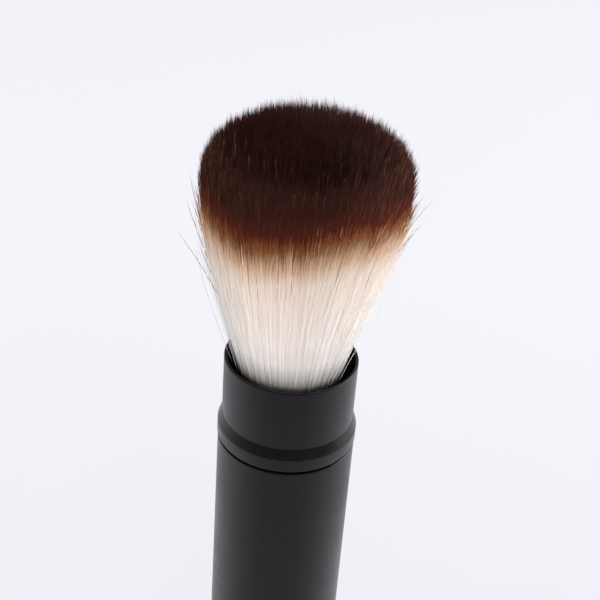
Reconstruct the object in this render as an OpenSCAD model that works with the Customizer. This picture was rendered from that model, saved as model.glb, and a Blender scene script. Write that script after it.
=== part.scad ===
// Retractable powder brush: a slim barrel, a sliding guard and a flared domed head of hair.
// Millimetres. +Z runs up the brush, and the origin is the centre of the base.
// The brush is drawn open, with the guard down on the barrel.

/* [Barrel] */
// Outside diameter of the barrel
barrel_d = 23; // [21.5:0.5:28]
// Wall of the drawn barrel shell, its floor too
barrel_wall = 0.5; // [0.4:0.05:0.7]
// Rounding of the edge round the base
base_edge_r = 1.2; // [0.6:0.1:2.4]
// Rounding of the barrel's mouth, of the ring's lower edge and of the guard's rim
edge_r = 0.2; // [0.1:0.05:0.2]
// Gap between the barrel's mouth and the shoulder ring, seen as a seam
seam_gap = 0.5; // [0.3:0.05:0.7]

/* [Inside the barrel] */
// Height of the plug in the bottom of the barrel
plug_h = 7; // [6.5:0.5:14]
// Wall of the liner tube
liner_wall = 0.85; // [0.8:0.05:0.95]
// Length of the bushing that guides the guard at the barrel's mouth
bushing_h = 15; // [10:1:25]
// Wall of the bushing
bushing_wall = 0.6; // [0.45:0.05:0.65]
// Depth of the liner and the bushing below the barrel's mouth
mouth_recess = 0.4; // [0.2:0.1:1]
// Width of the two keyways in the liner
keyway_w = 2.4; // [1.6:0.2:4]
// Depth of the two keyways in the liner
keyway_depth = 0.4; // [0.3:0.05:0.5]

/* [Guard] */
// Width of the ledge that a cap would close on, from the sleeve to the barrel's outside
ledge_w = 0.56; // [0.45:0.01:0.7]
// Height of the sleeve above the shoulder ring
sleeve_h = 10.9; // [8:0.1:16]
// Wall of the guard sleeve
sleeve_wall = 0.5; // [0.4:0.05:0.6]
// How far the shoulder ring stands out past the barrel
ring_proud = 0.12; // [0.05:0.01:0.3]
// Height of the shoulder ring's straight band
ring_band_h = 2.3; // [1.5:0.1:6]
// Height of the ring's bevelled shoulder above its band
ring_shoulder_h = 1.75; // [1:0.05:3]
// Thickness of the ring's lip under the sleeve
ring_lip_t = 0.6; // [0.4:0.1:1.2]
// Wall of the guide tube
guide_wall = 0.6; // [0.5:0.05:0.7]
// Depth of the guide tube's top below the guard's rim
guide_depth = 7; // [6:0.5:9]
// Height of the guide tube's foot
foot_h = 6; // [5:0.5:9]
// Thickness of each of the two friction rings
friction_ring_t = 0.7; // [0.5:0.05:0.8]
// Distance between the two friction rings
friction_ring_pitch = 1.4; // [1.1:0.1:1.8]
// Width of the foot's lands beside the rings' grooves
foot_land_w = 0.45; // [0.3:0.05:0.6]

/* [Ferrule and post] */
// Gap between the ferrule and the guide tube that slides over it
ferrule_gap = 0.72; // [0.4:0.02:1.2]
// Wall of the ferrule
ferrule_wall = 0.4; // [0.3:0.05:0.6]
// Length of the ferrule
ferrule_h = 22; // [18:1:28]
// Depth of the ferrule's mouth below the guard's rim
ferrule_depth = 7; // [6:0.5:9]
// Depth of the two beads rolled into the ferrule
crimp_depth = 0.3; // [0.15:0.05:0.4]
// Width of the flat in each bead
crimp_flat = 0.6; // [0.3:0.1:1]
// Length of the post's spigot in the ferrule
spigot_h = 6; // [4:0.5:8]
// Wall of the hollow post
post_wall = 1.4; // [1:0.1:2]
// Diameter of the post's foot in the base plug
post_foot_d = 10; // [8:0.5:13]
// Diameter of the post screw
screw_d = 3; // [2.5:0.5:3.5]
// Length of the post screw under its head
screw_l = 10; // [8:1:14]
// Diameter of the post screw's head
screw_head_d = 5.6; // [5:0.1:6.4]
// Height of the post screw's head
screw_head_h = 2; // [1.6:0.1:2.4]
// Room round the screw's head and its shank in the plug
screw_room = 0.2; // [0.1:0.05:0.4]
// Thickness of the plug's web that the screw pulls on
plug_web_t = 1.5; // [1.2:0.1:2]
// Thickness of the post's foot beyond the screw's end
screw_cover_t = 2; // [1:0.5:3]

/* [Bristle head] */
// Widest diameter of the head
head_d = 33; // [28:0.2:38]
// Length of hair from the ferrule's mouth to the top of the dome
hair_out = 48.4; // [40:0.2:56]
// Height of the rounded dome, above the widest part
dome_h = 9.9; // [6:0.1:14]
// Squareness of the dome: 2 is an ellipse
dome_n = 2.35; // [2:0.05:3]
// Bulge of the sides between the ferrule and the widest part
flare_bulge = 0.75; // [0:0.1:1]
// Depth of the hair roots below the ferrule's mouth
root_depth = 6; // [4:0.5:8]
// Thickness of the slice of resin that the strands grow from
backing_t = 1.2; // [0.8:0.1:2]
// Number of strands, each a lock of hair
strand_count = 480; // [300:10:500]
// Thickness of a strand, as a share of the room it has
strand_fill = 0.9; // [0.5:0.05:0.95]
// How far up each strand its dark tip starts, as a share of its length
tone_s = 0.83; // [0.5:0.01:0.88]
// Share of a strand's length that tapers to its tip
tip_share = 0.09; // [0.05:0.01:0.3]
// How much the tips' heights differ
tip_scatter = 0.8; // [0:0.1:2]
// How far the closed guard's rim stands above the hair
cover_margin = 1.6; // [0.5:0.1:4]

/* [Clearances] */
// Gap between the hair and the ferrule at its mouth
mouth_gap = 0.1; // [0.05:0.05:0.4]
// Gap filled by glue, or taken up by a press fit
bond_gap = 0.03; // [0.02:0.01:0.06]
// Radial clearance of what slides
slide_gap = 0.07; // [0.04:0.01:0.1]
// Gap left at each end stop
stop_gap = 0.05; // [0.02:0.01:0.2]

/* [Hidden] */
$fn = 96;
CUT = 0.1;
ARC_STEPS = 6;
GOLDEN_ANGLE = 180 * (3 - sqrt(5));
// Least distance between the points of a sunflower spiral, for a disc of radius 1 and one point
SPIRAL_PITCH = 1.6;

// Radii from the outside in
barrel_r = barrel_d / 2;
shell_bore_r = barrel_r - barrel_wall;
liner_r = shell_bore_r - bond_gap;
liner_bore_r = liner_r - liner_wall;
bushing_r = liner_bore_r - bond_gap;
bushing_bore_r = bushing_r - bushing_wall;
ring_r = barrel_r + ring_proud;
sleeve_r = barrel_r - ledge_w;
sleeve_bore_r = sleeve_r - sleeve_wall;
guide_collar_r = sleeve_bore_r - bond_gap;
guide_r = bushing_bore_r - slide_gap;
guide_bore_r = guide_r - guide_wall;
foot_r = liner_bore_r - slide_gap;
ferrule_r = guide_bore_r - ferrule_gap;
ferrule_bore_r = ferrule_r - ferrule_wall;
knot_r = ferrule_bore_r - bond_gap;
belly_r = head_d / 2;

// How far the guard slides, so that its rim passes the top of the hair
guard_travel = hair_out - ferrule_depth + cover_margin;

// Heights from the base up
plug_z = barrel_wall + plug_h;
foot_z = plug_z + stop_gap;
foot_top_z = foot_z + foot_h;
bushing_z = foot_top_z + guard_travel + stop_gap;
bushing_top_z = bushing_z + bushing_h;
barrel_h = bushing_top_z + mouth_recess;
ring_z = barrel_h + seam_gap;
ring_band_top_z = ring_z + ring_band_h;
ring_top_z = ring_band_top_z + ring_shoulder_h;
sleeve_z = ring_z + ring_lip_t;
rim_z = ring_top_z + sleeve_h;
guide_top_z = rim_z - guide_depth;
mouth_z = rim_z - ferrule_depth;
ferrule_z = mouth_z - ferrule_h;
spigot_top_z = ferrule_z + spigot_h;
root_z = mouth_z - root_depth;
backing_z = root_z - backing_t;

// The two beads that grip the knot, a quarter and three quarters of the way up it
crimp_w = 2 * crimp_depth + crimp_flat;
crimp_zs = [for (share = [0.25, 0.75]) spigot_top_z + share * (backing_z - spigot_top_z)];

// The friction rings share the lower part of the foot, and the keys stand on the upper part
ring_groove_w = friction_ring_t + 2 * stop_gap;
ring_groove_r = liner_bore_r - stop_gap / 2 - friction_ring_t - bond_gap;
friction_zs = [for (i = [0, 1]) foot_z + foot_land_w + ring_groove_w / 2 + i * friction_ring_pitch];
key_z = friction_zs[1] + ring_groove_w / 2 + foot_land_w;

// The screw's head lies in the plug's underside, and its shank runs up into the post's foot
screw_r = screw_d / 2;
screw_head_z = barrel_wall + bond_gap + screw_room;
screw_shank_z = screw_head_z + screw_head_h;
screw_end_z = screw_shank_z + screw_l;
post_z = screw_shank_z + plug_web_t;
post_floor_z = screw_end_z + screw_cover_t;

function arc(cx, cy, rx, ry, from, to) =
    [for (i = [0:ARC_STEPS]) let (a = from + (to - from) * i / ARC_STEPS) [cx + rx * cos(a), cy + ry * sin(a)]];

// A tube between two heights
module tube(r, bore_r, z, top_z) {
    difference() {
        translate([0, 0, z]) cylinder(r = r, h = top_z - z);
        translate([0, 0, z - CUT]) cylinder(r = bore_r, h = top_z - z + 2 * CUT);
    }
}

// A rolled bead's outline, dented inwards from a wall of radius r
function bead(r, z) = [
    [r, z - crimp_w / 2], [r - crimp_depth, z - crimp_w / 2 + crimp_depth],
    [r - crimp_depth, z + crimp_w / 2 - crimp_depth], [r, z + crimp_w / 2]
];

function reversed(points) = [for (i = [len(points) - 1:-1:0]) points[i]];

module barrel_shell() {
    color("#2a2b2f") rotate_extrude() polygon(concat(
        [[0, 0]],
        arc(barrel_r - base_edge_r, base_edge_r, base_edge_r, base_edge_r, -90, 0),
        arc(barrel_r - edge_r, barrel_h - edge_r, edge_r, edge_r, 0, 90),
        [[shell_bore_r, barrel_h]],
        arc(barrel_r - base_edge_r, base_edge_r, base_edge_r - barrel_wall, base_edge_r - barrel_wall, 0, -90),
        [[0, barrel_wall]]
    ));
}

module base_plug() {
    plug_edge_r = base_edge_r - barrel_wall - bond_gap;
    color("#1b1b1d") difference() {
        rotate_extrude() polygon(concat(
            [[0, barrel_wall + bond_gap]],
            arc(barrel_r - base_edge_r, base_edge_r, plug_edge_r, plug_edge_r, -90, 0),
            [[liner_r, plug_z], [0, plug_z]]
        ));
        translate([0, 0, barrel_wall - CUT])
            cylinder(d = screw_head_d + 2 * screw_room, h = screw_shank_z - barrel_wall + CUT);
        cylinder(r = screw_r + screw_room, h = plug_z);
        translate([0, 0, post_z]) cylinder(r = post_foot_d / 2 + bond_gap, h = plug_z);
    }
}

module barrel_liner() {
    color("#222326") difference() {
        tube(liner_r, liner_bore_r, plug_z, bushing_top_z);
        for (side = [0, 180]) rotate(side)
            translate([0, -keyway_w / 2, plug_z - CUT])
                cube([liner_bore_r + keyway_depth, keyway_w, bushing_top_z - plug_z + 2 * CUT]);
    }
}

module guide_bushing() {
    color("#d8d6d0") tube(bushing_r, bushing_bore_r, bushing_z, bushing_top_z);
}

module core_post() {
    hollow_r = ferrule_r - post_wall;
    spigot_r = ferrule_bore_r - bond_gap;
    color("#1b1b1d") difference() {
        union() {
            translate([0, 0, post_z]) cylinder(r = post_foot_d / 2, h = plug_z - post_z + CUT);
            translate([0, 0, plug_z]) cylinder(r = ferrule_r, h = ferrule_z - plug_z);
            translate([0, 0, ferrule_z - CUT]) cylinder(r = spigot_r, h = spigot_h + CUT);
        }
        translate([0, 0, post_floor_z]) cylinder(r = hollow_r, h = spigot_top_z);
        translate([0, 0, post_z - CUT])
            cylinder(r = screw_r + bond_gap, h = screw_end_z + screw_room - post_z + CUT);
    }
}

module post_screw() {
    slot_w = screw_d / 4;
    color("#b9bcc0") union() {
        translate([0, 0, screw_shank_z - CUT]) cylinder(r = screw_r, h = screw_l + CUT);
        difference() {
            translate([0, 0, screw_head_z]) cylinder(d = screw_head_d, h = screw_head_h);
            for (turn = [0, 90]) rotate(turn)
                translate([-screw_r, -slot_w / 2, screw_head_z - CUT])
                    cube([screw_d, slot_w, screw_head_h / 2 + CUT]);
        }
    }
}

module ferrule() {
    outside = [for (z = crimp_zs, p = bead(ferrule_r, z)) p];
    inside = [for (z = crimp_zs, p = bead(ferrule_bore_r, z)) p];
    color("#8f9195") rotate_extrude() polygon(concat(
        [[ferrule_bore_r, ferrule_z], [ferrule_r, ferrule_z]],
        outside,
        [[ferrule_r, mouth_z], [ferrule_bore_r, mouth_z]],
        reversed(inside)
    ));
}

module knot_plug() {
    side = [for (z = crimp_zs, p = bead(knot_r, z)) p];
    color("#9a8f72") rotate_extrude() polygon(concat(
        [[0, spigot_top_z], [knot_r, spigot_top_z]],
        side,
        [[knot_r, backing_z], [0, backing_z]]
    ));
}

// A strand's place for its share rho of the head's radius and its share s of its length.
// Strands keep their order at every s, so none crosses another.
strand_r = strand_fill * SPIRAL_PITCH / sqrt(strand_count) / 2;
tip_r = belly_r / (1 + strand_r);
function bulged(s) = s * (1 + flare_bulge * s * s * (1 - s));
side_h = root_depth + hair_out - dome_h;
mouth_share = bulged(tone_s) * root_depth / (tone_s * side_h);
root_r = ((ferrule_bore_r - mouth_gap) / (1 + strand_r) - tip_r * mouth_share) / (1 - mouth_share);
function spread(s) = root_r + (tip_r - root_r) * bulged(s);
function strand_h(rho) = side_h + dome_h * pow(1 - pow(rho, dome_n), 1 / dome_n);
function strand_ring(rho, angle, s, z) = [
    for (corner = [0, 120, 240])
        [
            spread(s) * (rho * cos(angle) + strand_r * cos(angle + corner)),
            spread(s) * (rho * sin(angle) + strand_r * sin(angle + corner)),
            z
        ]
];
function strand_rho(i) = sqrt((i + 0.5) / strand_count);
function tip_drop(i) = let (step = i * (sqrt(5) - 1) / 2) tip_scatter * (step - floor(step));
// The pale stretch of a strand, from the middle of the backing to the change of colour
function pale_points(i) =
    let (rho = strand_rho(i), angle = i * GOLDEN_ANGLE)
    concat(
        strand_ring(rho, angle, 0, root_z - backing_t / 2),
        strand_ring(rho, angle, tone_s, root_z + tone_s * strand_h(rho))
    );
// The dark stretch of a strand, from the change of colour to the tip
function dark_points(i) =
    let (rho = strand_rho(i), angle = i * GOLDEN_ANGLE, taper_s = 1 - tip_share)
    concat(
        strand_ring(rho, angle, tone_s, root_z + tone_s * strand_h(rho)),
        strand_ring(rho, angle, taper_s, root_z + taper_s * strand_h(rho)),
        [[rho * spread(1) * cos(angle), rho * spread(1) * sin(angle), root_z + strand_h(rho) - tip_drop(i)]]
    );
// Points of a pale stretch and of a dark one
PALE_POINTS = 6;
DARK_POINTS = 7;
// Triangles between two rings of three corners
wall_faces = [
    for (k = [0:2]) let (n = (k + 1) % 3) each [[k, k + 3, n], [n, k + 3, n + 3]]
];
pale_faces = concat([[0, 1, 2]], wall_faces, [[5, 4, 3]]);
dark_faces = concat([[0, 1, 2]], wall_faces, [for (k = [0:2]) [3 + k, 6, 3 + (k + 1) % 3]]);
function repeated(faces, stride) =
    [for (i = [0:strand_count - 1], f = faces) [for (v = f) v + i * stride]];

module bristles() {
    strands = [0:strand_count - 1];
    union() {
        color("#9a8f72") translate([0, 0, backing_z]) cylinder(r = knot_r, h = backing_t);
        color("#e4dcd6") polyhedron(
            points = [for (i = strands, p = pale_points(i)) p],
            faces = repeated(pale_faces, PALE_POINTS)
        );
        color("#2c1711") polyhedron(
            points = [for (i = strands, p = dark_points(i)) p],
            faces = repeated(dark_faces, DARK_POINTS)
        );
    }
}

module guard_sleeve() {
    color("#2a2b2f") rotate_extrude() polygon(concat(
        [[sleeve_bore_r, sleeve_z], [sleeve_r, sleeve_z]],
        arc(sleeve_r - edge_r, rim_z - edge_r, edge_r, edge_r, 0, 90),
        arc(sleeve_bore_r + edge_r, rim_z - edge_r, edge_r, edge_r, 90, 180)
    ));
}

module shoulder_ring() {
    seat_r = sleeve_r + bond_gap;
    color("#2a2b2f") rotate_extrude() polygon(concat(
        [[sleeve_bore_r, ring_z]],
        arc(ring_r - edge_r, ring_z + edge_r, edge_r, edge_r, -90, 0),
        [[ring_r, ring_band_top_z], [seat_r, ring_top_z]],
        [[seat_r, sleeve_z], [sleeve_bore_r, sleeve_z]]
    ));
}

module guide_tube() {
    lead_in = (guide_collar_r - guide_bore_r) / 2;
    key_w = keyway_w - 2 * slide_gap;
    key_r = liner_bore_r + keyway_depth - slide_gap;
    color("#1b1b1d") difference() {
        union() {
            rotate_extrude() polygon([
                [guide_bore_r, foot_z], [foot_r, foot_z], [foot_r, foot_top_z],
                [guide_r, foot_top_z], [guide_r, ring_z], [guide_collar_r, ring_z],
                [guide_collar_r, guide_top_z], [guide_bore_r + lead_in, guide_top_z],
                [guide_bore_r, guide_top_z - lead_in]
            ]);
            for (side = [0, 180]) rotate(side)
                translate([guide_r - guide_wall / 2, -key_w / 2, key_z])
                    cube([key_r - guide_r + guide_wall / 2, key_w, foot_top_z - key_z]);
        }
        for (z = friction_zs) tube(foot_r + CUT, ring_groove_r, z - ring_groove_w / 2, z + ring_groove_w / 2);
    }
}

module friction_rings() {
    ring_middle_r = liner_bore_r - stop_gap / 2 - friction_ring_t / 2;
    color("#5a1f1a") for (z = friction_zs)
        translate([0, 0, z]) rotate_extrude()
            translate([ring_middle_r, 0]) circle(d = friction_ring_t, $fn = 24);
}

barrel_shell();
base_plug();
barrel_liner();
guide_bushing();
core_post();
post_screw();
ferrule();
knot_plug();
bristles();
guard_sleeve();
shoulder_ring();
guide_tube();
friction_rings();
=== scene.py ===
"""A retractable powder brush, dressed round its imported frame.

Lengths are metres in the frame's own axes: +Z runs up the brush, which stands on the floor at z = 0.
Colours are linear red, green and blue.
"""

import logging
import math
from abc import ABC, abstractmethod
from collections.abc import Sequence
from dataclasses import dataclass
from enum import Enum

import bpy
import numpy as np
from mathutils import Matrix, Vector
from mathutils.kdtree import KDTree


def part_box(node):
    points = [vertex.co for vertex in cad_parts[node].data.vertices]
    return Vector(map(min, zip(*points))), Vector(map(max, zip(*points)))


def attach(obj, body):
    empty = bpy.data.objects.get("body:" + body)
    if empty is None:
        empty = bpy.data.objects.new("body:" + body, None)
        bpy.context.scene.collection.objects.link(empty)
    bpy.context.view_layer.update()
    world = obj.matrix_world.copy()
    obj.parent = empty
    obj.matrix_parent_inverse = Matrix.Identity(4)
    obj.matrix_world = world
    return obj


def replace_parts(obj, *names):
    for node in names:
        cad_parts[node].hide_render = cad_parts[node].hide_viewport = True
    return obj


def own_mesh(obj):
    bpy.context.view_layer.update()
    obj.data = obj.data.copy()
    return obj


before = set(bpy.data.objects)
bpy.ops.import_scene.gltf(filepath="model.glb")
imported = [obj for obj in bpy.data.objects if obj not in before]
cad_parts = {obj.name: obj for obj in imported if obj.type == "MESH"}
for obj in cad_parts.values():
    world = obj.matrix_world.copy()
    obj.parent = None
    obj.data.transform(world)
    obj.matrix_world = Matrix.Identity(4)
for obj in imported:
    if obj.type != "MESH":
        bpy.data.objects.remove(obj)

MM = 0.001
log = logging.getLogger("powder_brush")

Colour = tuple[float, float, float]
Place = tuple[float, float, float]
Range = tuple[float, float]
Stops = Sequence[tuple[float, Colour]]
Socket = bpy.types.NodeSocket
Node = bpy.types.Node
Material = bpy.types.Material
Piece = bpy.types.Object
Rows = np.ndarray

BLACK: Colour = (0.0, 0.0, 0.0)
WHITE: Colour = (1.0, 1.0, 1.0)
# Most of a fractal noise lies between these values
NOISE_ENDS: Range = (0.3, 0.7)
# Angle past which an edge of a turned piece stays sharp
CREASE = math.radians(28.0)
GOLDEN_ANGLE = math.pi * (3 - math.sqrt(5))


class Body(str, Enum):
    """The two bodies of the frame: what stands still, and what slides."""

    HANDLE = "handle"
    GUARD = "guard"


def turned_size(node: str) -> tuple[float, float, float]:
    """A turned node's outer radius, its lowest height and its highest."""
    low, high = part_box(node)
    return high.x, low.z, high.z


def new_object(name: str, data: bpy.types.ID) -> Piece:
    """Makes an object of a mesh, a lamp or a camera, and links it into the scene."""
    made = bpy.data.objects.new(name, data)
    bpy.context.scene.collection.objects.link(made)
    return made


def new_piece(name: str, points: Rows, faces: Sequence[Rows], body: Body) -> Piece:
    """Makes a smooth-shaded mesh piece that rides on a body.

    Points have one row each. Faces come in arrays, with one row of vertex numbers a face.
    """
    mesh = bpy.data.meshes.new(name)
    corners = np.concatenate([part.ravel() for part in faces])
    sides = np.concatenate([np.full(len(part), part.shape[1]) for part in faces])
    mesh.vertices.add(len(points))
    mesh.vertices.foreach_set("co", points.astype(np.float32).ravel())
    mesh.loops.add(len(corners))
    mesh.loops.foreach_set("vertex_index", corners.astype(np.int32))
    mesh.polygons.add(len(sides))
    mesh.polygons.foreach_set("loop_start", (np.cumsum(sides) - sides).astype(np.int32))
    mesh.polygons.foreach_set("use_smooth", np.ones(len(sides), bool))
    mesh.update(calc_edges=True)
    piece = new_object(name, mesh)
    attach(piece, body.value)
    return piece


def wear(piece: Piece, material: Material) -> None:
    """Gives a piece one material all over."""
    piece.data.materials.clear()
    piece.data.materials.append(material)


def corner_arc(
    centre_r: float, centre_z: float, radius: float, start: float, end: float, steps: int = 6
) -> Rows:
    """Points (r, z) of an arc in a turned outline: the centre plus radius times (cos a, sin a).

    The angles are in degrees, with 0 away from the axis and 90 up, and the steps are chords.
    """
    angle = np.radians(np.linspace(start, end, steps + 1))
    return np.stack([centre_r + radius * np.cos(angle), centre_z + radius * np.sin(angle)], 1)


def lathe(name: str, outline: Rows, body: Body, turns: int = 192) -> Piece:
    """Turns an outline round the Z axis: point k at turn a is (r_k cos a, r_k sin a, z_k).

    The outline has one row of (r, z) a point, and is walked with the solid on its left. It is a closed loop,
    unless its two ends lie on the axis.
    """
    poled = not outline[[0, -1], 0].any()
    rings = outline[1:-1] if poled else outline
    angle = 2 * np.pi * np.arange(turns) / turns
    x = rings[:, :1] * np.cos(angle)
    y = rings[:, :1] * np.sin(angle)
    z = np.broadcast_to(rings[:, 1:], x.shape)
    points = np.stack([x, y, z], -1).reshape(-1, 3)
    count = len(rings)
    lower = np.arange(count - 1 if poled else count)
    upper = (lower + 1) % count
    step = np.arange(turns)
    after = (step + 1) % turns
    first = lower[:, None] * turns
    second = upper[:, None] * turns
    quads = np.stack([first + step, first + after, second + after, second + step], -1).reshape(-1, 4)
    faces = [quads]
    if poled:
        ends = np.array([[0.0, 0.0, outline[0, 1]], [0.0, 0.0, outline[-1, 1]]])
        bottom = len(points)
        last = (count - 1) * turns
        points = np.concatenate([points, ends])
        faces.append(np.stack([np.full(turns, bottom), after, step], -1))
        faces.append(np.stack([np.full(turns, bottom + 1), last + step, last + after], -1))
    piece = new_piece(name, points, faces, body)
    piece.data.set_sharp_from_angle(angle=CREASE)
    return piece


class Graph:
    """Adds nodes to the tree of a material or of the world."""

    def __init__(self, owner: Material | bpy.types.World) -> None:
        """Takes the node tree of a new material or world."""
        owner.use_nodes = True
        self.nodes = owner.node_tree.nodes
        self.links = owner.node_tree.links

    def add(self, kind: str, **values: object) -> Node:
        """Adds a node of a type, named without its ShaderNode prefix, and sets attributes on it."""
        node = self.nodes.new("ShaderNode" + kind)
        for key, value in values.items():
            setattr(node, key, value)
        return node

    def join(self, value: object, socket: Socket) -> None:
        """Links an output to an input, or sets a plain value on it, with 1 for a colour's alpha."""
        if isinstance(value, Socket):
            self.links.new(value, socket)
        elif socket.type == "RGBA":
            socket.default_value = (*value, 1.0)
        else:
            socket.default_value = value

    def put(self, node: Node, **values: object) -> None:
        """Joins values to a node's inputs by name, with the spaces in the names written as underscores."""
        for key, value in values.items():
            self.join(value, node.inputs[key.replace("_", " ")])

    def feed(self, node: Node, *values: object) -> None:
        """Joins values to a node's inputs in their order, from the first on."""
        for value, socket in zip(values, node.inputs):
            self.join(value, socket)

    def stretched(self, where: Socket, scale: Place) -> Socket:
        """Coordinates, multiplied by a scale along each axis."""
        mapping = self.add("Mapping")
        self.put(mapping, Vector=where, Scale=scale)
        return mapping.outputs["Vector"]

    def place(self, scale: Place = (1.0, 1.0, 1.0)) -> Socket:
        """The object's own coordinates, stretched by a scale."""
        return self.stretched(self.add("TexCoord").outputs["Object"], scale)

    def parts(self, vector: Socket) -> bpy.types.NodeOutputs:
        """A vector's X, Y and Z, by these names."""
        node = self.add("SeparateXYZ")
        self.feed(node, vector)
        return node.outputs

    def noise(self, where: Socket, scale: float, detail: float) -> Socket:
        """Fractal noise between 0 and 1, by features per metre and a number of octaves."""
        node = self.add("TexNoise")
        self.put(node, Vector=where, Scale=scale, Detail=detail)
        return node.outputs["Fac"]

    def graded(self, value: Socket, ends: Range, results: Range, course: str = "SMOOTHSTEP") -> Socket:
        """Turns a value that runs between two ends into one that runs between two results."""
        node = self.add("MapRange", interpolation_type=course)
        self.put(node, Value=value, From_Min=ends[0], From_Max=ends[1], To_Min=results[0], To_Max=results[1])
        return node.outputs["Result"]

    def between(self, noise: Socket, low: float, high: float) -> Socket:
        """Maps a noise to a range of values."""
        return self.graded(noise, NOISE_ENDS, (low, high), "LINEAR")

    def ramp(self, factor: Socket, stops: Stops) -> Socket:
        """A colour ramp over 0 to 1, with its stops from low to high."""
        node = self.add("ValToRGB")
        elements = node.color_ramp.elements
        while len(elements) < len(stops):
            elements.new(0.5)
        for element, (position, colour) in zip(elements, stops):
            element.position = position
            element.color = (*colour, 1.0)
        self.feed(node, factor)
        return node.outputs["Color"]

    def mix(self, factor: Socket | float, first: object, second: object, blend: str = "MIX") -> Socket:
        """Mixes two colours, or the outputs that give them, with a share of the second."""
        node = self.add("Mix", data_type="RGBA", blend_type=blend)
        for value, number in ((factor, 0), (first, 6), (second, 7)):
            self.join(value, node.inputs[number])
        return node.outputs[2]

    def patchy(self, noise: Socket, first: Colour, second: Colour, most: float = 1.0) -> Socket:
        """One colour with patches of another, which reaches the share that is named by most."""
        return self.mix(self.between(noise, 0.0, most), first, second)

    def worked_out(self, operation: str, first: Socket, second: Socket) -> Socket:
        """One step of arithmetic, by Blender's name of it."""
        node = self.add("Math", operation=operation)
        self.feed(node, first, second)
        return node.outputs["Value"]

    def plain(self, kind: str, colour: Colour, strength: Socket | float = 1.0) -> Socket:
        """A shader that only shines, of kind Emission or Background."""
        shader = self.add(kind)
        self.put(shader, Color=colour, Strength=strength)
        return shader.outputs[0]

    def mixed(self, share: Socket | float, first: Socket, second: Socket) -> Socket:
        """Mixes two shaders, with a share of the second."""
        node = self.add("MixShader")
        self.feed(node, share, first, second)
        return node.outputs[0]

    def show(self, lit: Socket, mirrored: Socket, seen: Socket, output: str) -> None:
        """Shows one shader to the rays that light things, one to those that mirror, and one to the camera."""
        path = self.add("LightPath")
        shown = lit
        for ray, shader in (("Glossy", mirrored), ("Transmission", mirrored), ("Camera", seen)):
            shown = self.mixed(path.outputs[f"Is {ray} Ray"], shown, shader)
        self.put(self.nodes[output], Surface=shown)


class Surface(Graph):
    """The nodes of a material, round its Principled shader."""

    def __init__(self, name: str) -> None:
        """Starts a material."""
        self.material = bpy.data.materials.new(name)
        super().__init__(self.material)
        self.shader = self.nodes["Principled BSDF"]

    def dents(self, *layers: tuple[Socket, float]) -> None:
        """Sends layers of bump to the shader's normal: heights from 0 to 1, and how deep in metres 1 is."""
        before = {}
        for height, depth in layers:
            bump = self.add("Bump")
            self.put(bump, Strength=1.0, Distance=depth, Height=height, **before)
            before = {"Normal": bump.outputs["Normal"]}
        self.put(self.shader, **before)


@dataclass(frozen=True)
class Finish(ABC):
    """A finish, which makes a material out of its own nodes. Its scales are features per metre."""

    name: str

    def material(self) -> Material:
        """Makes the material."""
        surface = Surface(self.name)
        self.draw(surface)
        return surface.material

    @abstractmethod
    def draw(self, surface: Surface) -> None:
        """Adds the finish's nodes."""


@dataclass(frozen=True)
class Anodised(Finish):
    """Aluminium that was blasted matt, dyed and sealed: faint mottling, fine grain and turning lines."""

    colour: Colour
    mottle: Colour
    gloss: Range
    specular: float = 0.44
    mottle_scale: float = 260.0
    handled_scale: float = 90.0
    line_stretch: Place = (6.0, 6.0, 900.0)
    line_scale: float = 4.0
    line_share: float = 0.35
    line_depth: float = 0.0006 * MM
    grain_scale: float = 9000.0
    grain_depth: float = 0.0035 * MM

    def draw(self, surface: Surface) -> None:
        """Adds the finish's nodes."""
        place = surface.place()
        mottle = surface.noise(place, self.mottle_scale, 4.0)
        handled = surface.noise(place, self.handled_scale, 5.0)
        lines = surface.noise(surface.place(self.line_stretch), self.line_scale, 2.0)
        surface.put(
            surface.shader,
            Base_Color=surface.patchy(mottle, self.colour, self.mottle),
            Roughness=surface.mix(self.line_share, surface.between(handled, *self.gloss), lines, "OVERLAY"),
            Specular_IOR_Level=self.specular,
        )
        grain = surface.noise(place, self.grain_scale, 2.0)
        surface.dents((grain, self.grain_depth), (lines, self.line_depth))


@dataclass(frozen=True)
class Moulded(Finish):
    """Moulded plastic or rubber: an even colour that drifts a little, with a fine spark-eroded texture."""

    colour: Colour
    drift: Colour
    roughness: float
    texture_depth: float = 0.006 * MM
    specular: float = 0.5
    milky: float = 0.0
    milky_depth: float = 1.5 * MM
    uneven: float = 0.06
    drift_scale: float = 140.0
    flow_stretch: Place = (1.0, 1.0, 0.25)
    flow_scale: float = 420.0
    texture_scale: float = 5200.0

    def draw(self, surface: Surface) -> None:
        """Adds the finish's nodes."""
        place = surface.place()
        drift = surface.noise(place, self.drift_scale, 3.0)
        flow = surface.noise(surface.place(self.flow_stretch), self.flow_scale, 4.0)
        surface.put(
            surface.shader,
            Base_Color=surface.patchy(drift, self.colour, self.drift),
            Roughness=surface.between(flow, self.roughness - self.uneven, self.roughness + self.uneven),
            Specular_IOR_Level=self.specular,
            Subsurface_Weight=self.milky,
            Subsurface_Scale=self.milky_depth,
        )
        texture = surface.noise(place, self.texture_scale, 3.0)
        surface.dents((texture, self.texture_depth), (flow, 0.5 * self.texture_depth))


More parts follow.
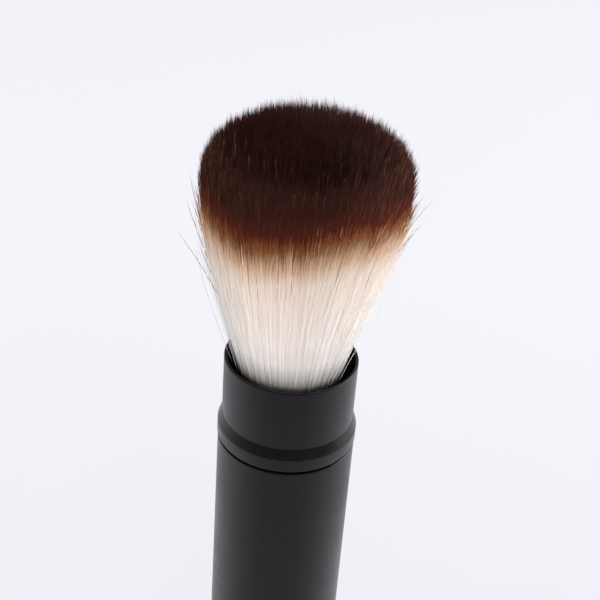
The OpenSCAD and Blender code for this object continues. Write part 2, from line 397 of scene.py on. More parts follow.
@dataclass(frozen=True)
class DrawnMetal(Finish):
    """Bare drawn or turned metal, with lines round its axis and a few stains."""

    colour: Colour
    stain: Colour
    roughness: float
    uneven: float = 0.08
    stained: float = 0.6
    stain_scale: float = 210.0
    line_stretch: Place = (20.0, 20.0, 5200.0)
    line_depth: float = 0.004 * MM

    def draw(self, surface: Surface) -> None:
        """Adds the finish's nodes."""
        stains = surface.noise(surface.place(), self.stain_scale, 5.0)
        lines = surface.noise(surface.place(self.line_stretch), 1.0, 4.0)
        surface.put(
            surface.shader,
            Base_Color=surface.patchy(stains, self.colour, self.stain, self.stained),
            Roughness=surface.between(lines, self.roughness - self.uneven, self.roughness + self.uneven),
            Metallic=1.0,
        )
        surface.dents((lines, self.line_depth))


@dataclass(frozen=True)
class Resin(Finish):
    """The knot's cast resin: cloudy amber, soaked up between the roots."""

    name: str = "cast_resin"
    clear: Colour = (0.34, 0.27, 0.15)
    cloudy: Colour = (0.52, 0.47, 0.34)
    roughness: Range = (0.16, 0.34)
    cloud_scale: float = 600.0
    ripple_scale: float = 1800.0
    ripple_depth: float = 0.02 * MM

    def draw(self, surface: Surface) -> None:
        """Adds the finish's nodes."""
        place = surface.place()
        cloud = surface.noise(place, self.cloud_scale, 6.0)
        surface.put(
            surface.shader,
            Base_Color=surface.patchy(cloud, self.clear, self.cloudy),
            Roughness=surface.between(cloud, *self.roughness),
        )
        surface.dents((surface.noise(place, self.ripple_scale, 3.0), self.ripple_depth))


class FibreMap:
    """A fibre's own map: its shade across, and up it a chart of the dye.

    Below the dye the chart follows the height above the rim, and from there the height above the dye's edge.
    The heights in the chart are in millimetres.
    """

    NAME = "OFBake"
    MOUTH = 0.05
    RIM = 0.12
    PALE = 0.20
    WARM = 0.36
    FADE = 0.45
    EDGE = 0.53
    FULL = 0.61
    DARK = 0.72
    TOP = 0.90
    # Up to RIM_SHADE_H above the rim the chart runs through painted shade of the sleeve on the hair: dark
    # below the rim, lighter at it, and cream 4.5 mm up
    ABOVE_RIM = ((-16.0, 0.0), (0.0, MOUTH), (4.5, RIM))
    ABOVE_DYE = (
        (-18.0, PALE), (-5.8, WARM), (-2.8, FADE), (-0.6, EDGE), (2.1, FULL), (5.6, DARK), (15.0, TOP),
    )
    RIM_SHADE_H = 4.6

    @classmethod
    def read(cls, above_rim: Rows, above_dye: Rows) -> Rows:
        """The map's second coordinate, at heights above the rim and above the fibre's own edge of the dye."""
        low, low_chart = np.array(cls.ABOVE_RIM).T
        high, high_chart = np.array(cls.ABOVE_DYE).T
        lower = np.interp(above_rim / MM, low, low_chart)
        upper = np.interp(above_dye / MM, high, high_chart)
        return np.where(above_rim < cls.RIM_SHADE_H * MM, lower, upper)


@dataclass(frozen=True)
class FibreDye(Finish):
    """Crimp-free synthetic fibre, cream below and dip-dyed dark brown above.

    It reads the fibre's own map: U is the fibre's shade, and V runs from the root at 0 through the edge of
    the dye to the tip at 1. The colours follow the heights that FibreMap names. Fibres of the highest shades
    carry painted backlight: a lighter brown, lightest at the tip, that stands in for light shining through
    thin fibres at the head's edge. The mild and the wild stops are how much shades differ in cream and dye.
    """

    name: str = "dyed_fibre"
    # Painted shade of the sleeve on the hair near the rim: the shadow colour below the rim, a lighter painted
    # shade at the rim, and cream from 4.5 mm above it
    shadow: Colour = (0.10, 0.093, 0.087)
    painted_rim_shade: Colour = (0.29, 0.277, 0.262)
    white: Colour = (0.85, 0.80, 0.757)
    cream: Colour = (0.927, 0.840, 0.775)
    warm: Colour = (0.786, 0.628, 0.530)
    tan: Colour = (0.51, 0.29, 0.165)
    amber: Colour = (0.143, 0.0375, 0.0125)
    russet: Colour = (0.027, 0.0056, 0.0034)
    dark: Colour = (0.0085, 0.0031, 0.0024)
    top: Colour = (0.0062, 0.0022, 0.0018)
    # Painted backlight: a lighter brown for fibres at the head's edge, lightest at the tips, standing in for
    # light shining through them
    painted_backlight: Colour = (0.034, 0.0110, 0.0060)
    painted_backlight_tip: Colour = (0.11, 0.056, 0.030)
    soil: Colour = (0.76, 0.66, 0.59)
    soil_share: float = 0.16
    soil_stretch: Place = (90.0, 3.0, 1.0)
    backlight_shades: Range = (0.88, 0.92)
    mild: Stops = ((0.0, (0.78, 0.68, 0.60)), (0.3, (0.93, 0.89, 0.86)), (0.9, WHITE))
    wild: Stops = ((0.0, (0.70, 0.68, 0.68)), (0.5, (0.87, 0.87, 0.87)), (0.9, WHITE))

    def draw(self, surface: Surface) -> None:
        """Adds the finish's nodes."""
        chart = surface.add("UVMap", uv_map=FibreMap.NAME).outputs["UV"]
        parts = surface.parts(chart)
        shade, height = parts["X"], parts["Y"]
        pale = [
            (0.0, self.shadow),
            (FibreMap.MOUTH, self.painted_rim_shade),
            (FibreMap.RIM, self.white),
            (FibreMap.PALE, self.cream),
            (FibreMap.WARM, self.warm),
            (FibreMap.FADE, self.tan),
            (FibreMap.EDGE, self.amber),
        ]
        full = [(FibreMap.FULL, self.russet), (FibreMap.DARK, self.dark), (FibreMap.TOP, self.top)]
        # Fibres of the highest shades take the painted backlight's lighter brown in place of the full dye
        backlit_stops = [(FibreMap.FULL, self.painted_backlight), (FibreMap.TOP, self.painted_backlight), (1.0, self.painted_backlight_tip)]
        is_backlit = surface.ramp(shade, tuple(zip(self.backlight_shades, (BLACK, WHITE))))
        dyed = surface.mix(is_backlit, surface.ramp(height, pale + full), surface.ramp(height, pale + backlit_stops))
        in_dye = surface.ramp(height, [(FibreMap.WARM, BLACK), (FibreMap.FULL, WHITE)])
        shades = surface.mix(in_dye, surface.ramp(shade, self.mild), surface.ramp(shade, self.wild))
        varied = surface.mix(1.0, dyed, shades, "MULTIPLY")
        streak = surface.noise(surface.stretched(chart, self.soil_stretch), 1.0, 2.0)
        soiled = surface.between(streak, 0.0, self.soil_share)
        surface.put(
            surface.shader,
            Base_Color=surface.mix(soiled, varied, self.soil, "MULTIPLY"),
            Roughness=0.5,
            Specular_IOR_Level=0.03,
            Subsurface_Weight=0.5,
            Subsurface_Scale=0.3 * MM,
            Subsurface_Radius=(1.0, 0.92, 0.85),
        )


class Finishes:
    """One material for each finish of the brush."""

    def __init__(self) -> None:
        """Makes every material."""
        black = ((0.0027, 0.0029, 0.0036), (0.0040, 0.0042, 0.0052))
        self.anodised = Anodised("black_anodised", *black, gloss=(0.28, 0.38)).material()
        self.plastic = Moulded("black_plastic", (0.011, 0.011, 0.012), (0.015, 0.015, 0.017), 0.42).material()
        pale = ((0.70, 0.69, 0.64), (0.76, 0.74, 0.69))
        self.acetal = Moulded("bushing_plastic", *pale, 0.34, milky=0.15).material()
        self.steel = DrawnMetal("screw_steel", (0.55, 0.56, 0.58), (0.38, 0.38, 0.40), 0.30).material()
        bare = ((0.62, 0.63, 0.65), (0.45, 0.46, 0.48))
        self.aluminium = DrawnMetal("ferrule_aluminium", *bare, 0.32).material()
        self.resin = Resin().material()
        red = ((0.075, 0.016, 0.012), (0.10, 0.022, 0.016))
        self.rubber = Moulded("ring_rubber", *red, 0.62, 0.004 * MM, specular=0.35).material()
        self.fibre = FibreDye().material()


@dataclass
class Handle:
    """What stays still: the barrel with its inside parts, the post, the ferrule and the knot's resin."""

    shell_wall: float = 0.5 * MM
    base_edge_r: float = 1.2 * MM
    base_steps: int = 12
    mouth_edge_r: float = 0.2 * MM

    def build(self, finishes: Finishes) -> list[Piece]:
        """Builds and dresses the handle, and gives its new pieces."""
        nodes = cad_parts
        for node in ("base_plug", "barrel_liner", "core_post"):
            wear(nodes[node], finishes.plastic)
        wear(nodes["guide_bushing"], finishes.acetal)
        wear(nodes["post_screw"], finishes.steel)
        wear(nodes["ferrule"], finishes.aluminium)
        wear(nodes["knot_plug"], finishes.resin)
        return [self.shell(finishes.anodised)]

    def shell(self, finish: Material) -> Piece:
        """The drawn barrel: a cup with an even wall, rounded round its base and at its mouth."""
        radius, base, mouth = turned_size("barrel_shell")
        bend, edge, bore = self.base_edge_r, self.mouth_edge_r, radius - self.shell_wall
        outline = np.concatenate([
            [[0.0, base]],
            corner_arc(radius - bend, base + bend, bend, -90, 0, self.base_steps),
            corner_arc(radius - edge, mouth - edge, edge, 0, 90),
            [[bore, mouth]],
            corner_arc(radius - bend, base + bend, bend - self.shell_wall, 0, -90, self.base_steps),
            [[0.0, base + self.shell_wall]],
        ])
        piece = lathe("barrel_shell_turned", outline, Body.HANDLE)
        wear(piece, finish)
        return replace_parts(piece, "barrel_shell")


@dataclass
class Guard:
    """What slides: the sleeve, the shoulder ring, the guide tube and its two rubber rings."""

    sleeve_wall: float = 0.5 * MM
    edge_r: float = 0.2 * MM
    bevel_edge_r: float = 0.8 * MM
    bevel_steps: int = 5
    ring_band_h: float = 2.3 * MM
    bond_gap: float = 0.03 * MM

    def build(self, finishes: Finishes) -> list[Piece]:
        """Builds and dresses the guard, and gives its new pieces."""
        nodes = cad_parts
        wear(nodes["guide_tube"], finishes.plastic)
        wear(nodes["friction_rings"], finishes.rubber)
        return [self.sleeve(finishes.anodised), self.ring(finishes.anodised)]

    def sleeve(self, finish: Material) -> Piece:
        """The thin tube round the hair, with both edges of its rim broken."""
        radius, foot, rim = turned_size("guard_sleeve")
        bore, edge = radius - self.sleeve_wall, self.edge_r
        outline = np.concatenate([
            [[bore, foot], [radius, foot]],
            corner_arc(radius - edge, rim - edge, edge, 0, 90),
            corner_arc(bore + edge, rim - edge, edge, 90, 180),
        ])
        piece = lathe("guard_sleeve_turned", outline, Body.GUARD)
        wear(piece, finish)
        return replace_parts(piece, "guard_sleeve")

    def ring(self, finish: Material) -> Piece:
        """The shoulder ring: a straight band under a bevel, and a lip under the sleeve.

        Where the band turns into the bevel, the edge is broken with a small arc.
        """
        radius, foot, top = turned_size("shoulder_ring")
        sleeve_r, sleeve_foot, _ = turned_size("guard_sleeve")
        seat, edge, bore = sleeve_r + self.bond_gap, self.edge_r, sleeve_r - self.sleeve_wall
        band_top = foot + self.ring_band_h
        slope = math.degrees(math.atan2(radius - seat, top - band_top))
        bend = self.bevel_edge_r
        bend_z = band_top - bend * math.tan(math.radians(slope / 2))
        outline = np.concatenate([
            [[bore, foot]],
            corner_arc(radius - edge, foot + edge, edge, -90, 0),
            corner_arc(radius - bend, bend_z, bend, 0, slope, self.bevel_steps),
            [[seat, top], [seat, sleeve_foot], [bore, sleeve_foot]],
        ])
        piece = lathe("shoulder_ring_turned", outline, Body.GUARD)
        wear(piece, finish)
        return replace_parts(piece, "shoulder_ring")


@dataclass
class Strands:
    """Fibres as arrays, with one row each: what a tube needs to know of them.

    Attributes:
        lines: Centres of the fibre's rings, from its root to its tip.
        radii: Its radii there.
        heights: The map's second coordinate there.
        shade: The map's first coordinate.
        turn: The way in radians that the tube's first corner points.
        middle: Centre of the egg that the head is shaded like.
        half_size: Its half sizes.
        evenness: How much the shading follows the egg, and not the fibre's own sides.
        map_step: Distance of the tube's corners on the map.
    """

    lines: Rows
    radii: Rows
    heights: Rows
    shade: Rows
    turn: Rows
    middle: Rows
    half_size: Rows
    evenness: float = 0.88
    map_step: float = 0.006

    def piece(self, name: str, chosen: Rows) -> Piece:
        """Makes one mesh of the chosen fibres, each a three-sided tube that tapers to a point.

        Corner j of ring k is the fibre's centre plus its radius there times (cos, sin) of its turn plus 120 j
        degrees, level with the centre. On the map, corner j lies at the fibre's shade plus j - 1 steps.
        """
        lines, radii, heights = self.lines[chosen], self.radii[chosen], self.heights[chosen]
        count, knots = heights.shape
        rings = knots - 1
        corner = self.turn[chosen, None] + np.radians([0.0, 120.0, 240.0])
        level = np.stack([np.cos(corner), np.sin(corner), np.zeros_like(corner)], -1)
        walls = lines[:, :rings, None] + radii[:, :rings, None, None] * level[:, None]
        points = np.concatenate([walls.reshape(count, -1, 3), lines[:, rings:]], 1).reshape(-1, 3)
        side = np.arange(3)
        after = (side + 1) % 3
        low = 3 * np.arange(rings - 1)[:, None]
        up = np.stack([low + side, low + after, low + 3 + after], -1).reshape(-1, 3)
        down = np.stack([low + side, low + 3 + after, low + 3 + side], -1).reshape(-1, 3)
        last = 3 * (rings - 1)
        tip = np.stack([last + side, last + after, np.full(3, last + 3)], -1)
        one = np.concatenate([[[2, 1, 0]], up, down, tip])
        faces = (one[None] + (3 * rings + 1) * np.arange(count)[:, None, None]).reshape(-1, 3)
        piece = new_piece(name, points, [faces], Body.HANDLE)
        own = np.broadcast_to(level[:, None], walls.shape).reshape(count, -1, 3)
        own = np.concatenate([own, np.tile([[[0.0, 0.0, 1.0]]], (count, 1, 1))], 1).reshape(-1, 3)
        head = (points - self.middle) / self.half_size**2
        head /= np.linalg.norm(head, axis=1)[:, None]
        normals = own + self.evenness * (head - own)
        layer = piece.data.attributes.new("custom_normal", "FLOAT_VECTOR", "POINT")
        layer.data.foreach_set("vector", normals.astype(np.float32).ravel())
        across = np.concatenate([np.tile((side - 1) * self.map_step, rings), [0.0]])
        along = np.concatenate([np.repeat(heights[:, :rings], 3, axis=1), heights[:, rings:]], 1)
        spots = np.stack([self.shade[chosen, None] + across, along], -1).reshape(-1, 2)
        layer = piece.data.uv_layers.new(name=FibreMap.NAME, do_init=False)
        layer.uv.foreach_set("vector", spots[faces.ravel()].astype(np.float32).ravel())
        return piece


@dataclass(frozen=True)
class Stray:
    """A hair that stands off the head, as one in the photograph does.

    Its heights are millimetres above the guard's rim.

    Attributes:
        way: Its way round the head in degrees, 0 to the right and -90 to the front.
        leaves: Height at which it leaves the head's surface.
        tip_r: Distance of its tip from the axis, in millimetres.
        tip_z: Height of its tip.
        dye: Height of its edge of the dye.
    """

    way: float
    leaves: float
    tip_r: float
    tip_z: float
    dye: float


@dataclass
class BristleHead:
    """The head of hair: fine fibres in locks, which flare out of the ferrule and end in a dome.

    A fibre's place is its share rho of the head's radius at an angle. At a share s of its length it lies at
    rho times spread(s) from the axis, and its length is side_h + dome_h (1 - rho^n)^(1/n).
    """

    root_depth: float = 6.0 * MM
    root_r: float = 5.9 * MM
    resin_r: float = 7.62 * MM
    resin_dip: float = 0.25 * MM
    resin_flat: float = 0.6
    widest_r: float = 15.85 * MM
    dome_h: float = 9.3 * MM
    dome_power: float = 2.6
    spikes_h: float = 0.7 * MM
    flare_bulge: float = 0.75
    lean: float = 0.35 * MM
    tilt: float = 0.1 * MM
    right_waist: float = 0.09
    right_flare: float = 0.02
    # The egg that the head is shaded like
    egg_above_rim: float = 20 * MM
    egg_half_h: float = 30 * MM
    # Fibres, and the locks that they gather in
    fibre_r: float = 0.044 * MM
    fibre_sizes: Range = (0.85, 1.15)
    fibres: int = 56_000
    crowding: float = 0.46
    jitter: float = 0.4
    locks: int = 3000
    outer_rho: float = 0.84
    lock_pinch: float = 0.75
    # Tips: the mean and the most that one falls short, and the same for what a tall one adds
    pointed: float = 2.3 * MM
    fall: Range = (0.4 * MM, 3 * MM)
    lock_uneven: float = 0.5 * MM
    tall_from: float = 0.85
    tall: Range = (0.35 * MM, 1.0 * MM)
    edge_rho: float = 0.85
    short_share: float = 0.13
    short: Range = (1 * MM, 8 * MM)
    # Fibres with painted backlight: a lighter brown that stands in for light shining through thin fibres, so
    # only near the head's edge, and fewer at the front
    backlight_share: float = 0.12
    backlight_front: Range = (0.2, 0.6)
    backlight_rho: float = 0.6
    backlight_reach: float = 0.4
    backlight_shades: Range = (0.93, 0.97)
    # Shades of the locks, and of the fibres in them
    mean_shade: float = 0.55
    lock_shades: float = 0.04
    fibre_shades: float = 0.15
    plain_shades: Range = (0.02, 0.86)
    # Fibres that stand off or lie across
    loose_share: float = 0.20
    loose_splay: float = 0.8 * MM
    short_splay: float = 0.9 * MM
    cross: float = 0.38 * MM
    crossed_share: float = 0.01
    crossed: float = 3.0
    wave: float = 0.19 * MM
    waves: Range = (1.2, 2.6)
    twist: float = 0.2
    # Edge of the dye above the rim, its shift in millimetres each way round, and the odd fibres
    dye_height: float = 27.6 * MM
    dye_line: tuple[Range, ...] = (
        (-180.0, -0.2), (-154.0, -0.3), (-120.0, -1.6), (-90.0, -0.2),
        (-60.0, 1.5), (-26.0, 0.6), (0.0, -0.1), (180.0, -0.2),
    )
    lock_dye: float = 0.35 * MM
    fibre_dye: float = 0.5 * MM
    odd_dye: Range = (0.015, 0.985)
    dye_drop: Range = (2 * MM, 8 * MM)
    dye_rise: Range = (1 * MM, 4 * MM)
    # Rings above the rim, and near the dye: how far below its edge, and at least how far above the rim.
    # The inner fibres have only the rings of some numbers.
    rim_rings: tuple[float, ...] = (0.0, 4.5 * MM, 9 * MM, 13.5 * MM)
    dye_rings: tuple[Range, ...] = ((6.5 * MM, 14 * MM), (2.5 * MM, 14.5 * MM))
    lowest_dye: float = 21 * MM
    least_dyed: float = 2.5 * MM
    inner_rings: tuple[int, ...] = (0, 6, 8, 9, 10)
    sectors: int = 12
    squeezed: float = 0.44
    strays_squeezed: float = 0.36
    seed: int = 11
    stray_knots: int = 16
    stray_bend: float = 1.6
    stray_size: float = 1.35
    stray_shades: Range = (0.5, 0.86)
    stray_taper: tuple[Range, ...] = ((0.0, 1.0), (0.7, 0.9), (0.95, 0.5), (1.0, 0.0))
    left_strays: tuple[Stray, ...] = (
        Stray(187.0, 9.0, 18.0, 28.4, 10.0),
        Stray(183.0, 12.0, 17.1, 31.0, 14.0),
        Stray(192.0, 8.0, 19.3, 23.8, 8.0),
        Stray(178.0, 10.0, 17.3, 27.0, 13.0),
        Stray(195.0, 10.0, 16.4, 22.5, 9.0),
        Stray(189.0, 14.0, 17.5, 33.0, 17.0),
        Stray(181.0, 11.0, 16.2, 25.0, 9.0),
    )
    right_strays: tuple[Stray, ...] = (
        Stray(-4.0, 12.0, 18.6, 26.8, 13.0),
        Stray(3.0, 14.0, 19.6, 30.0, 15.0),
        Stray(-9.0, 10.0, 17.0, 25.0, 12.0),
        Stray(-7.0, 16.0, 17.4, 32.5, 20.0),
        Stray(-13.0, 9.0, 15.6, 23.0, 9.0),
        Stray(1.0, 13.0, 17.8, 29.0, 16.0),
    )

    def __post_init__(self) -> None:
        """Takes the head's place from the frame."""
        self.mouth_z = turned_size("ferrule")[2]
        self.rim_z = turned_size("guard_sleeve")[2]
        self.root_z = self.mouth_z - self.root_depth
        self.top_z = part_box("bristles")[1].z - self.spikes_h
        self.side_h = self.top_z - self.dome_h - self.root_z
        self.rng = np.random.default_rng(self.seed)
        self.middle = np.array([0.0, 0.0, self.rim_z + self.egg_above_rim])
        self.half_size = np.array([self.widest_r, self.widest_r, self.egg_half_h])

    def spread(self, share: Rows) -> Rows:
        """Radius of the head at a share s of its length: from root to widest by s (1 + b s^2 (1 - s))."""
        bulged = share * (1 + self.flare_bulge * share**2 * (1 - share))
        return self.root_r + (self.widest_r - self.root_r) * bulged

    def waisted(self, x: Rows, share: Rows) -> Rows:
        """Draws the right side in below and out above: for x > 0 by x (f s^8 - w sin(pi s)), at shares s."""
        share = np.clip(share, 0, 1)
        return x + (self.right_flare * share**8 - self.right_waist * np.sin(np.pi * share)) * np.maximum(x, 0)

    def length(self, rho: Rows) -> Rows:
        """Height from the roots to the dome at a share rho of the radius."""
        share = (1 - np.minimum(rho, 1.0) ** self.dome_power) ** (1 / self.dome_power)
        return self.side_h + self.dome_h * share

    def build(self, finishes: Finishes) -> list[Piece]:
        """Builds the head in sectors.

        Thin pale fibres let light through. So the outer ones and the strays cast no shadows, with which the
        cream would be streaky.
        """
        pieces = [self.root_resin(finishes.resin)]
        for side, hairs in (("left", self.left_strays), ("right", self.right_strays)):
            piece = self.loose(hairs).piece(f"stray_hairs_{side}", np.ones(len(hairs), bool))
            self.dress(piece, finishes.fibre)
            piece.visible_shadow = False
            pieces.append(piece)
        strands, angle, outer = self.grow()
        sector = np.floor(angle / (2 * np.pi) * self.sectors).astype(int) % self.sectors
        for number in range(self.sectors):
            for label, group, strand_set in (("outer", outer, strands[0]), ("inner", ~outer, strands[1])):
                piece = strand_set.piece(f"hair_{label}_{number + 1:02d}", sector[group] == number)
                self.dress(piece, finishes.fibre)
                piece.visible_shadow = label == "inner"
                pieces.append(piece)
        return pieces

    def dress(self, piece: Piece, finish: Material) -> None:
        """Finishes a piece of hair: its material, in place of the frame's bristles, on a mesh of its own."""
        wear(piece, finish)
        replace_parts(piece, "bristles")
        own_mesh(piece)

    def root_resin(self, finish: Material) -> Piece:
        """The slice of resin that the fibres grow from, deep in the ferrule."""
        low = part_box("bristles")[0].z
        rim, high = self.resin_r, self.root_z
        flat = high - self.resin_dip
        outline = np.array([[0.0, low], [rim, low], [rim, high], [self.resin_flat * rim, flat], [0.0, flat]])
        piece = lathe("root_resin", outline, Body.HANDLE, turns=96)
        wear(piece, finish)
        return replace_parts(piece, "bristles")

    def loose(self, hairs: Sequence[Stray]) -> Strands:
        """Works out hairs that stand off the head: on its surface up to a height, then out by a power."""
        table = np.array([[hair.way, hair.leaves, hair.tip_r, hair.tip_z, hair.dye] for hair in hairs])
        way, (leaves, tip_r, tip_z, dye) = np.radians(table[:, :1]), MM * table[:, 1:].T[..., None]
        steps = np.linspace(0, 1, self.stray_knots)
        tips = self.rim_z + tip_z
        heights = self.root_z + (tips - self.root_z) * steps
        above = heights - self.rim_z
        share = (heights - self.root_z) / self.side_h
        free = np.clip((above - leaves) / (tip_z - leaves), 0, 1) ** self.stray_bend
        stand_off = tip_r - self.spread((tips - self.root_z) / self.side_h)
        reach = self.spread(share) + stand_off * free
        across = self.waisted(reach * np.cos(way), share) + self.lean * share**2
        lines = np.stack([across, reach * np.sin(way), heights], -1)
        taper = np.interp(steps, *np.array(self.stray_taper).T)
        radii = self.stray_size * self.fibre_r * np.tile(taper, (len(hairs), 1))
        chart = FibreMap.read(above, above - dye)
        shade = self.rng.uniform(*self.stray_shades, len(hairs))
        return Strands(lines, radii, chart, shade, np.zeros(len(hairs)), self.middle, self.half_size)

    def sunflower(self, count: int, power: float) -> Rows:
        """Spreads points over the unit disc: point i at radius (i / count)^power and angle i.

        Angles count in golden angles. A power of 0.5 spreads evenly, and a lower one crowds the edge.
        """
        number = np.arange(count) + 0.5
        radius = (number / count) ** power
        angle = number * GOLDEN_ANGLE
        return np.stack([radius * np.cos(angle), radius * np.sin(angle)], 1)

    def grow(self) -> tuple[tuple[Strands, Strands], Rows, Rows]:
        """Works out the outer and the inner fibres, each fibre's angle, and which of them are outer."""
        rng, count, locks = self.rng, self.fibres, self.locks
        lock_at = self.sunflower(locks, 0.5)
        tree = KDTree(locks)
        for number, (x, y) in enumerate(lock_at):
            tree.insert((x, y, 0.0), number)
        tree.balance()
        home = self.sunflower(count, self.crowding)
        home += rng.normal(0, self.jitter / math.sqrt(count), (count, 2))
        home /= np.maximum(np.linalg.norm(home, axis=1), 1.0)[:, None]
        lock = np.array([tree.find((x, y, 0.0))[1] for x, y in home])
        rho = np.linalg.norm(home, axis=1)
        way = np.arctan2(home[:, 1], home[:, 0])
        angle = way % (2 * np.pi)
        outer = rho > self.outer_rho

        tip_z = self.root_z + self.length(rho) + self.tilt * rho**3 * np.cos(angle)
        tip_z -= np.minimum(rng.exponential(self.fall[0], count), self.fall[1]) - self.spikes_h
        tip_z -= self.pointed * locks * ((home - lock_at[lock]) ** 2).sum(1)
        most = 2 * self.lock_uneven
        tip_z += np.clip(rng.normal(0, self.lock_uneven, locks), -most, most)[lock]
        # Painted backlight: fibres near the head's edge, and fewer at the front, get a lighter brown that
        # stands in for light shining through them
        off_front = np.clip(self.backlight_front[0] + self.backlight_front[1] * (1 + np.sin(angle)), 0, 1)
        near_edge = np.clip((rho - self.backlight_rho) / self.backlight_reach, 0, 1)
        painted_backlight = rng.random(count) < self.backlight_share * off_front * near_edge
        odd = rng.random(count)
        taller = np.minimum(rng.exponential(self.tall[0], count), self.tall[1])
        tip_z += (painted_backlight | (odd > self.tall_from)) * taller
        short = (odd < self.short_share) & (rho > self.edge_rho)
        tip_z -= short * rng.uniform(*self.short, count)

        shift = np.interp(np.degrees(way), *np.array(self.dye_line).T)
        dye_z = self.rim_z + self.dye_height + MM * shift * rho
        dye_z += rng.normal(0, self.lock_dye, locks)[lock] + rng.normal(0, self.fibre_dye, count)
        odd = rng.random(count)
        dye_z -= (odd < self.odd_dye[0]) * rng.uniform(*self.dye_drop, count)
        dye_z += (odd > self.odd_dye[1]) * rng.uniform(*self.dye_rise, count)
        shade = self.mean_shade + rng.normal(0, self.lock_shades, locks)[lock]
        shade += rng.normal(0, self.fibre_shades, count)
        shade = np.where(painted_backlight, rng.uniform(*self.backlight_shades, count), np.clip(shade, *self.plain_shades))

        loose = (rng.random(count) < self.loose_share) & (rho > self.edge_rho)
        splay = loose * rng.uniform(0, self.loose_splay, count)
        splay += short * rng.uniform(0, self.short_splay, count)
        askew = rng.normal(0, self.cross, count)
        askew *= np.where(rng.random(count) < self.crossed_share, self.crossed, 1.0)
        swing = rng.normal(0, self.wave, count)
        swings = rng.uniform(*self.waves, count)
        start = rng.random(count)
        both = []
        for group, fine in ((outer, True), (~outer, False)):
            heights, chart, thickness = self.knots(tip_z[group], dye_z[group], fine)
            share = (heights - self.root_z) / (tip_z[group] - self.root_z)[:, None]
            pinch = self.lock_pinch * share[..., None] ** 5
            across = home[group][:, None] + (lock_at[lock] - home)[group][:, None] * pinch
            level = across * self.spread(share)[..., None]
            level *= 1 + (splay / self.widest_r)[group][:, None, None] * share[..., None] ** 8
            turns = swings[group, None] * share + start[group, None]
            aside = share * (askew[group, None] + swing[group, None] * np.sin(2 * np.pi * turns))
            tangent = np.stack([-np.sin(angle[group]), np.cos(angle[group])], 1)
            level += aside[..., None] * tangent[:, None]
            level[..., 0] = self.waisted(level[..., 0], share) + self.lean * share**2
            lines = np.concatenate([level, heights[..., None]], -1)
            size = self.fibre_r * rng.uniform(*self.fibre_sizes, group.sum())
            radii = thickness * size[:, None]
            turn = angle[group] - np.pi / 3 + rng.normal(0, self.twist, group.sum())
            both.append(Strands(lines, radii, chart, shade[group], turn, self.middle, self.half_size))
        return (both[0], both[1]), angle, outer

    def knots(self, tip_z: Rows, dye_z: Rows, fine: bool) -> tuple[Rows, Rows, Rows]:
        """Heights of the fibres' rings, their heights on the map, and shares of the full thickness there.

        Fine fibres, which show all the way down, have more rings. Those of a short fibre are kept apart, so
        that they rise all the way up.
        """
        low_z = np.clip(dye_z, self.rim_z + self.lowest_dye, tip_z - self.least_dyed)
        above = tip_z - low_z
        table = [
            (np.full_like(tip_z, self.root_z), 1.0),
            *((np.full_like(tip_z, self.rim_z + up), 1.0) for up in self.rim_rings),
            *((np.maximum(low_z - down, self.rim_z + up), 1.0) for down, up in self.dye_rings),
            (low_z + 0.25 * above, 1.0),
            (low_z + 0.6 * above, 0.9),
            (tip_z - 0.16 * above, 0.6),
            (tip_z, 0.0),
        ]
        rows = table if fine else [table[number] for number in self.inner_rings]
        heights = np.stack([row[0] for row in rows], 1)
        chart = FibreMap.read(heights - self.rim_z, heights - dye_z[:, None])
        chart[:, -1] = 1.0
        thickness = np.broadcast_to(np.array([row[1] for row in rows]), heights.shape)
        return heights, chart, thickness


@dataclass
class PhotoCamera:
    """The camera at the photograph's viewing angle, set up from the centre of the guard's rim."""

    behind: float = 158.3 * MM
    above_rim: float = 105.85 * MM
    yaw: float = 0.243
    pitch: float = 31.07
    roll: float = 4.378
    lens: float = 70.38
    sensor: float = 36.0
    clips: Range = (0.01, 20.0)

    def build(self) -> None:
        """Makes the camera and has the scene use it."""
        data = bpy.data.cameras.new("photo_camera")
        data.lens = self.lens
        data.sensor_width = self.sensor
        data.clip_start, data.clip_end = self.clips
        camera = new_object("photo_camera", data)
        yaw, pitch, roll = (math.radians(angle) for angle in (self.yaw, self.pitch, self.roll))
        ahead = Vector((math.sin(yaw) * math.cos(pitch), math.cos(yaw) * math.cos(pitch), -math.sin(pitch)))
        level = Vector((math.cos(yaw), -math.sin(yaw), 0.0))
        upright = level.cross(ahead)
        right = level * math.cos(roll) + upright * math.sin(roll)
        up = upright * math.cos(roll) - level * math.sin(roll)
        turn = Matrix((right, up, -ahead)).transposed()
        eye = Vector((0.0, -self.behind, turned_size("guard_sleeve")[2] + self.above_rim))
        camera.matrix_world = Matrix.Translation(eye) @ turn.to_4x4()
        bpy.context.scene.camera = camera


@dataclass(frozen=True)
class SoftBox:
    """A square lamp that is aimed at the brush."""

    name: str
    place: Place
    side: float
    watts: float
    mirrored: bool = True

    def build(self, target: Vector) -> None:
        """Makes the lamp, and aims it at a target."""
        data = bpy.data.lights.new(self.name, "AREA")
        data.shape = "SQUARE"
        data.size = self.side
        data.energy = self.watts
        lamp = new_object(self.name, data)
        lamp.location = self.place
        lamp.rotation_euler = (target - Vector(self.place)).to_track_quat("-Z", "Y").to_euler()
        lamp.visible_glossy = self.mirrored


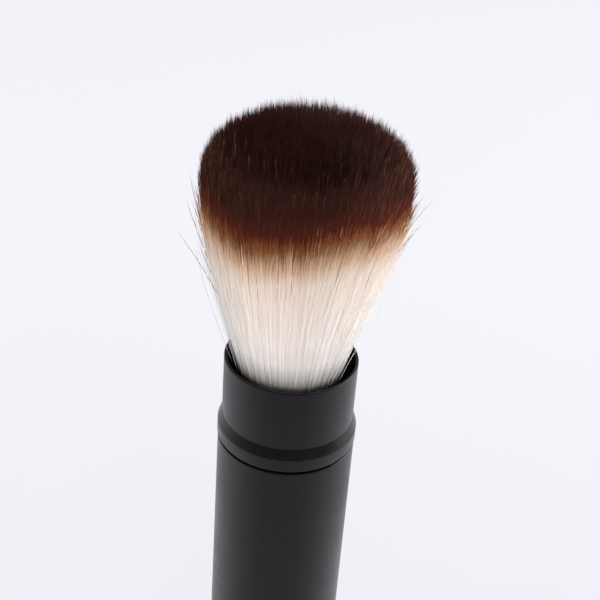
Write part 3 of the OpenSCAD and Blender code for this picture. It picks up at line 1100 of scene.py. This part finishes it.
@dataclass
class Studio:
    """A pale floor, a pale surround under a dark ceiling, and soft lamps.

    The camera sees plain pale paper. Polished surfaces mirror the same paper, weaker towards the camera and
    dark overhead, which is what gives black metal its shape.
    """

    paper: Colour = (0.922, 0.922, 0.978)
    floor_r: float = 4.0
    floor_sides: int = 96
    floor_albedo: Colour = (0.70, 0.70, 0.73)
    shadow_share: float = 0.20
    near_share: float = 0.94
    mirrored_front: float = 0.50
    mirrored_back: float = 0.97
    fill: float = 0.89
    fill_colour: Colour = (0.97, 0.98, 1.0)
    ceiling_share: float = 0.05
    ceiling_way: Place = (0.0, -0.75, 0.66)
    ceiling_ends: Range = (-0.75, -0.15)
    paper_ends: Range = (0.32, 0.8)
    near_ends: Range = (0.0, 0.2)
    mirrored_ends: Range = (-1.0, 0.2)
    aim: Place = (0.0, 0.0, 0.095)
    lamps: tuple[SoftBox, ...] = (
        SoftBox("left_box", (-0.62, -0.12, 0.25), 0.45, 1.9, mirrored=False),
        SoftBox("right_box", (0.60, 0.18, 0.27), 0.45, 3.1),
        SoftBox("front_box", (0.25, -0.65, 0.19), 0.30, 1.85, mirrored=False),
    )

    def build(self) -> None:
        """Makes the floor, the surround and the lamps."""
        bpy.context.scene.view_settings.view_transform = "Standard"
        self.floor()
        self.surround()
        for lamp in self.lamps:
            lamp.build(Vector(self.aim))

    def floor(self) -> None:
        """A disc of pale paper. The camera sees mostly a glow of the paper's colour, painted a little darker
        on the near side, with a share of its shading, and so the brush's shadow.
        """
        angle = 2 * np.pi * np.arange(self.floor_sides) / self.floor_sides
        ring = self.floor_r * np.stack([np.cos(angle), np.sin(angle), 0 * angle], 1)
        mesh = bpy.data.meshes.new("floor")
        mesh.from_pydata(ring.tolist(), [], [list(range(self.floor_sides))])
        disc = new_object("floor", mesh)
        sheet = Surface("floor_paper")
        sheet.put(sheet.shader, Base_Color=self.floor_albedo, Roughness=0.9, Specular_IOR_Level=0.1)
        matt = sheet.shader.outputs[0]
        place = sheet.add("TexCoord").outputs["Object"]
        way = sheet.add("VectorMath", operation="NORMALIZE")
        away = sheet.add("VectorMath", operation="LENGTH")
        for node in (way, away):
            sheet.feed(node, place)
        behind = sheet.parts(place)["Y"]
        weaker = sheet.graded(behind, self.near_ends, (self.near_share, 1.0))
        shaded = sheet.mixed(1 - self.shadow_share, matt, sheet.plain("Emission", self.paper, weaker))
        turned = sheet.parts(way.outputs["Vector"])["Y"]
        strength = sheet.graded(turned, self.mirrored_ends, (self.mirrored_front, self.mirrored_back))
        reach = sheet.worked_out("SUBTRACT", away.outputs["Value"], behind)
        on_paper = sheet.graded(reach, self.paper_ends, (1.0, self.ceiling_share))
        strength = sheet.worked_out("MULTIPLY", strength, on_paper)
        sheet.show(matt, sheet.plain("Emission", self.paper, strength), shaded, "Material Output")
        disc.data.materials.append(sheet.material)

    def surround(self) -> None:
        """A world that shows pale paper, mirrors it under a dark ceiling, and lights the brush evenly."""
        world = bpy.data.worlds.new("surround")
        bpy.context.scene.world = world
        sky = Graph(world)
        facing = sky.add("VectorMath", operation="DOT_PRODUCT")
        sky.feed(facing, sky.add("TexCoord").outputs["Generated"], self.ceiling_way)
        strength = sky.graded(facing.outputs["Value"], self.ceiling_ends, (1.0, self.ceiling_share))
        lit = sky.nodes["Background"]
        sky.put(lit, Color=self.fill_colour, Strength=self.fill)
        mirrored = sky.plain("Background", self.paper, strength)
        sky.show(lit.outputs[0], mirrored, sky.plain("Background", self.paper), "World Output")


def corners(box: tuple[Vector, Vector]) -> list[list[float]]:
    """A box's two corners as plain lists."""
    return [list(corner) for corner in box]


def main() -> None:
    """Builds the studio and the brush, and logs the faces of each new piece."""
    logging.basicConfig(level=logging.INFO, format="%(name)s: %(message)s")
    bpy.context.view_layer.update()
    PhotoCamera().build()
    Studio().build()
    finishes = Finishes()
    for assembly in (Handle(), Guard(), BristleHead()):
        for piece in assembly.build(finishes):
            log.info("%s: %d faces", piece.name, len(piece.data.polygons))


if __name__ == "__main__":
    main()
